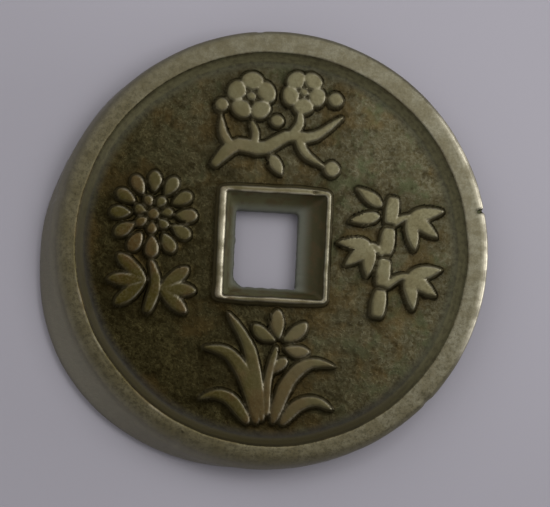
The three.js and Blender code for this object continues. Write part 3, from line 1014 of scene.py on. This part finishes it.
class Nodes:
    """Short ways to add nodes to a material and to link them."""

    def __init__(self, name):
        self.material = bpy.data.materials.new(name)
        self.material.use_nodes = True
        self.tree = self.material.node_tree
        self.tree.nodes.clear()
        self.position = self.add("ShaderNodeTexCoord").outputs["Object"]
        self.x, self.y, self.z = self.add("ShaderNodeSeparateXYZ", {0: self.position}).outputs

    def add(self, kind, inputs=None, **settings):
        """A new node with these settings, whose inputs are linked to a node or set to a value."""
        node = self.tree.nodes.new(kind)
        for name, value in settings.items():
            setattr(node, name, value)
        for socket, source in (inputs or {}).items():
            if hasattr(source, "links"):
                self.tree.links.new(source, node.inputs[socket])
            else:
                node.inputs[socket].default_value = source
        return node

    def shaded(self, inputs):
        """The material, whose shader has these inputs."""
        shader = self.add("ShaderNodeBsdfPrincipled", inputs)
        self.add("ShaderNodeOutputMaterial", {"Surface": shader.outputs["BSDF"]})
        return self.material

    def attribute(self, name):
        return self.add("ShaderNodeAttribute", attribute_name=name).outputs["Fac"]

    def noise(self, size, detail, roughness, stretch=(1.0, 1.0, 1.0)):
        """Noise whose features are about size millimetres across."""
        scale = [METRE / size * part for part in stretch]
        mapping = self.add("ShaderNodeMapping", {"Vector": self.position, "Scale": scale})
        inputs = {"Vector": mapping.outputs["Vector"], "Scale": 1.0, "Detail": detail, "Roughness": roughness}
        return self.add("ShaderNodeTexNoise", inputs).outputs["Fac"]

    def ramp(self, value, name):
        """The share that the named line of RAMPS gives to value."""
        inputs = dict(zip(("From Min", "From Max", "To Min", "To Max"), (*RAMPS[name], 0.0, 1.0)))
        inputs["Value"] = value
        return self.add("ShaderNodeMapRange", inputs, interpolation_type="SMOOTHSTEP").outputs["Result"]

    def math(self, operation, first, second=0.0):
        return self.add("ShaderNodeMath", {0: first, 1: second}, operation=operation).outputs[0]

    def times(self, first, second):
        return self.math("MULTIPLY", first, second)

    def towards(self, way):
        """How far a point lies towards a side of the coin, in metres."""
        return self.math("ADD", self.times(self.x, way[0]), self.times(self.y, way[1]))

    def from_axis(self):
        """How far a point lies from the Z axis, in metres."""
        return self.math("SQRT", self.math("ADD", self.times(self.x, self.x), self.times(self.y, self.y)))

    def mix(self, share, first, second):
        """A colour between two, the second where share is 1."""
        return self.add("ShaderNodeMix", {0: share, 6: first, 7: second}, data_type="RGBA").outputs[2]

    def blend(self, share, first, second):
        """The same with numbers."""
        return self.add("ShaderNodeMix", {0: share, 2: first, 3: second}).outputs[0]

    def bump(self, height, distance, strength, normal=None):
        """Bumps that are distance millimetres high, on top of normal if there is one."""
        inputs = {"Height": height, "Distance": distance / METRE, "Strength": strength}
        if normal is not None:
            inputs["Normal"] = normal
        return self.add("ShaderNodeBump", inputs).outputs["Normal"]


class Skin(Nodes):
    """The coin's material, with the marks, patterns and shares that its parts have in common."""

    def __init__(self):
        super().__init__("worn_bronze")
        self.mark = {name: self.attribute(name) for name in MARKS}
        self.pattern = {name: self.noise(*sizes) for name, sizes in PATTERNS.items()}
        self.speckle = self.blend(SPECKLE, self.pattern["mottle"], self.pattern["grain"])
        # side and lit are painted light and shade: they rise towards the light, where colours are painted
        # lighter, and fall away from it, where they are painted darker
        self.side = self.ramp(self.towards(PAINTED_LIGHT_WAY), "side")
        self.lit = self.towards(LIT_WAY)
        mottled = self.times(self.pattern["mottle"], WORN_BY_MOTTLE)
        self.worn = self.ramp(self.math("ADD", self.mark["raised"], mottled), "worn")
        self.polish_and_highlight = self.times(self.mark["edge"], self.ramp(self.pattern["blotches"], "polish_and_highlight"))
        self.green = self.times(self.mark["patina"], PATINA_SHARE)
        self.dull = self.math("MAXIMUM", self.mark["wall"], self.green)

    def patterned(self, pattern, name):
        return self.ramp(self.pattern[pattern], name)


def field_colour(skin):
    """The dark patina of the fields, painted paler towards the light as painted light and greener there too,
    and darker beside what is raised, with grime and painted shade.
    """
    dark = skin.mix(skin.side, DEEP_BROWN, DARK_BROWN)
    pale = skin.mix(skin.side, OLIVE_BROWN, PALE_OLIVE)
    colour = skin.mix(skin.ramp(skin.speckle, "speckled field"), dark, pale)
    colour = skin.mix(skin.times(skin.patterned("blotches", "green patina"), skin.side), colour, GREEN_GREY)
    colour = skin.mix(skin.patterned("patches", "red patches"), colour, RED_BROWN)
    colour = skin.mix(skin.patterned("shadows", "field shadows"), colour, DEEP_BROWN)
    return skin.mix(skin.times(skin.mark["dirt_and_shade"], DIRT_AND_SHADE_SHARE), colour, DEEP_BROWN)


def with_walls(skin, field):
    """The field's colour with the walls', and green patina at the foot of the outer rim. Walls and patina are
    painted lighter towards the light and darker away from it, as painted light and shade.
    """
    lit = skin.ramp(skin.lit, "lit wall")
    spots = skin.patterned("mottle", "wall spots")
    green_skin = skin.mix(spots, skin.mix(lit, SHADED_PATINA, SOFT_GREEN), DEEP_BROWN)
    olive_skin = skin.mix(spots, skin.mix(lit, SHADED_WALL, OLIVE_WALL), DARK_BROWN)
    brown_skin = skin.mix(spots, skin.mix(skin.side, SHADED_BROWN_WALL, BROWN_WALL), DARK_BROWN)
    low = skin.mix(skin.green, field, green_skin)
    return skin.mix(skin.mark["wall"], low, skin.mix(skin.mark["patina"], brown_skin, olive_skin))


def hole_colour(skin):
    """The walls of the hole, with painted shade on the right wall, which faces away from the light, and
    painted light that makes them paler grey up to the throat.
    """
    upper = skin.mix(skin.ramp(skin.x, "right wall of the hole"), MOUTH_OLIVE, SHADED_MOUTH_WALL)
    upper = skin.mix(skin.patterned("shadows", "red hole"), upper, RED_BROWN)
    return skin.mix(skin.ramp(skin.z, "above the throat"), LIT_THROAT_GREY, upper)


def relief_colour(skin):
    # Painted light and shade: lit copies towards the light, darker copies, partly red-stained, away from it
    painted_lit = skin.mix(skin.patterned("blotches", "bright relief"), DULL_BRASS, RELIEF_BRASS)
    shaded = skin.mix(skin.patterned("patches", "red relief"), SHADED_BRASS, RED_BRASS)
    return skin.mix(skin.side, shaded, painted_lit)


def rim_colour(skin):
    clean = skin.patterned("blotches", "clean rim")
    # Painted light and shade: the rim's lit copies towards the light, darker copies away from it, where pits
    # also go further
    shaded = skin.mix(clean, SHADED_STAIN, SHADED_RIM)
    painted_lit = skin.mix(clean, RIM_STAIN, RIM_BRASS)
    most = skin.blend(skin.ramp(skin.lit, "lit rim"), *PITS)
    pits = skin.times(skin.ramp(skin.speckle, "pits"), most)
    return skin.mix(pits, skin.mix(skin.side, shaded, painted_lit), PITTED_RIM)


def metal_colour(skin):
    """The bare brass of the relief, the rims and the flank, and its polished edges with painted highlights.
    """
    colour = skin.mix(skin.ramp(skin.from_axis(), "outer rim"), relief_colour(skin), rim_colour(skin))
    colour = skin.mix(skin.patterned("grain", "dull grain"), colour, DULL_BRASS)
    colour = skin.mix(skin.times(skin.mark["flank"], FLANK_SHARE), colour, FILED_GREY)
    return skin.mix(skin.polish_and_highlight, colour, POLISH_AND_HIGHLIGHT_COLOUR)


def metal_share(skin):
    low = skin.blend(skin.dull, *FIELD_AND_WALL_METAL)
    high = skin.blend(skin.mark["flank"], *WORN_AND_FLANK_METAL)
    return skin.blend(skin.mark["depth"], skin.blend(skin.worn, low, high), HOLE_METAL)


def skin_roughness(skin):
    low = skin.blend(skin.dull, skin.patterned("mottle", "field roughness"), DULL_ROUGHNESS)
    both = skin.blend(skin.worn, low, skin.patterned("grain", "metal roughness"))
    return skin.blend(skin.mark["depth"], skin.blend(skin.polish_and_highlight, both, POLISHED_ROUGHNESS), HOLE_ROUGHNESS)


def skin_bumps(skin):
    """The rough cast skin, weaker where it is worn, and the file's streaks on the flank."""
    mottle = skin.times(skin.pattern["mottle"], skin.ramp(skin.worn, "mottle height"))
    grain = skin.times(skin.pattern["grain"], skin.ramp(skin.worn, "grain height"))
    streaks = skin.times(skin.noise(*STREAKS, stretch=STREAK_STRETCH), skin.mark["flank"])
    normal = skin.bump(mottle, *MOTTLE_BUMPS)
    normal = skin.bump(grain, *GRAIN_BUMPS, normal)
    return skin.bump(streaks, *STREAK_BUMPS, normal)


def bronze_material():
    skin = Skin()
    low = skin.mix(skin.mark["depth"], with_walls(skin, field_colour(skin)), hole_colour(skin))
    inputs = {
        "Base Color": skin.mix(skin.worn, low, metal_colour(skin)),
        "Metallic": metal_share(skin),
        "Roughness": skin_roughness(skin),
        "Specular IOR Level": COIN_SPECULAR,
        "Normal": skin_bumps(skin),
    }
    return skin.shaded(inputs)


def floor_material():
    """A pale table. Far from the coin, where only the room lights it, it is painted paler, as painted light.
    """
    nodes = Nodes("pale_table")
    clouds = nodes.ramp(nodes.noise(*FLOOR_CLOUDS), "floor clouds")
    near = nodes.mix(clouds, FLOOR_COLOUR, CLOUDED_FLOOR)
    colour = nodes.mix(nodes.ramp(nodes.from_axis(), "far floor"), near, FAR_FLOOR_COLOUR)
    floor = {"Base Color": colour, "Roughness": FLOOR_ROUGHNESS, "Specular IOR Level": FLOOR_SPECULAR}
    return nodes.shaded(floor)


# The floor's half width in metres
FLOOR_HALF = 1.5


def build_floor():
    mesh = bpy.data.meshes.new("floor")
    corners = [(x * FLOOR_HALF, y * FLOOR_HALF, 0.0) for x, y in ((-1, -1), (1, -1), (1, 1), (-1, 1))]
    mesh.from_pydata(corners, [], [(0, 1, 2, 3)])
    mesh.materials.append(floor_material())
    add_object("floor", mesh)


# Camera. Angles are in the coin's frame, counter-clockwise from +X. The camera is aimed by the pixel at which
# the frame's Z axis comes out of the front.
IMAGE_SIZE = (550, 507)
ORIGIN_PIXEL = (266.6, 252.0)
WIDTH_PIXELS = 439.4
COIN_TURN = math.radians(2.65)
CAMERA_TILT = math.radians(8.0)
CAMERA_SIDE = math.radians(212.0) + COIN_TURN
LENS = 150.0
SENSOR = 36.0
CLIP = (0.005, 20.0)

# Soft lights that face the coin: angle and height in degrees, distance and size in metres, watts, colour
LIGHTS = {
    "softbox": (29.6, 60.0, 0.13, (0.1, 0.1), 0.079, (1.0, 0.99, 0.965)),
    "top window": (124.6, 46.0, 0.19, (0.19, 0.19), 0.104, (1.0, 0.99, 0.965)),
    "far window": (4.6, 11.0, 0.6, (0.33, 0.1), 1.0, (1.0, 0.985, 0.96)),
    "pale wall": (204.6, 16.0, 0.8, (0.9, 0.4), 0.5, (0.98, 0.98, 1.0)),
}
ROOM_COLOUR = (0.39, 0.38, 0.37, 1.0)


def direction(turn, tilt=0.0):
    """The direction at a compass angle and a height."""
    return Vector((math.cos(turn) * math.cos(tilt), math.sin(turn) * math.cos(tilt), math.sin(tilt)))


def aim(eye, target, up):
    """A matrix for an object at eye whose -Z looks at target, with up upwards in its picture."""
    back = (eye - target).normalized()
    right = up.cross(back).normalized()
    turn = Matrix((right, back.cross(right), back)).transposed()
    return Matrix.Translation(eye) @ turn.to_4x4()


def build_camera():
    scale = 2.0 * OUTER_RADIUS / METRE / WIDTH_PIXELS
    distance = IMAGE_SIZE[0] * scale * LENS / SENSOR
    right = direction(COIN_TURN)
    up = direction(COIN_TURN + math.pi / 2.0)
    target = Vector((0.0, 0.0, THICKNESS / METRE))
    target += right * (IMAGE_SIZE[0] / 2.0 - ORIGIN_PIXEL[0]) * scale
    target -= up * (IMAGE_SIZE[1] / 2.0 - ORIGIN_PIXEL[1]) * scale
    eye = target + distance * direction(CAMERA_SIDE, math.pi / 2.0 - CAMERA_TILT)
    data = bpy.data.cameras.new("camera")
    data.lens = LENS
    data.sensor_width = SENSOR
    data.clip_start, data.clip_end = CLIP
    camera = add_object("camera", data)
    camera.matrix_world = aim(eye, target, up)
    bpy.context.scene.camera = camera


def area_light(name, angle, height, distance, size, power, colour):
    data = bpy.data.lights.new(name, "AREA")
    data.shape = "RECTANGLE"
    data.size, data.size_y = size
    data.energy = power
    data.color = colour
    light = add_object(name, data)
    eye = distance * direction(math.radians(angle), math.radians(height))
    light.matrix_world = aim(eye, Vector((0.0, 0.0, 0.0)), Vector((0.0, 0.0, 1.0)))


def build_room():
    world = bpy.data.worlds.new("room")
    world.use_nodes = True
    background = world.node_tree.nodes["Background"]
    background.inputs["Color"].default_value = ROOM_COLOUR
    background.inputs["Strength"].default_value = 1.0
    bpy.context.scene.world = world


coin = build_coin()
coin.data.materials.append(bronze_material())
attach(coin, "root")
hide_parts("cash_coin")
build_floor()
build_camera()
for light_name, settings in LIGHTS.items():
    area_light(light_name, *settings)
build_room()
bpy.context.scene.view_settings.view_transform = "Standard"
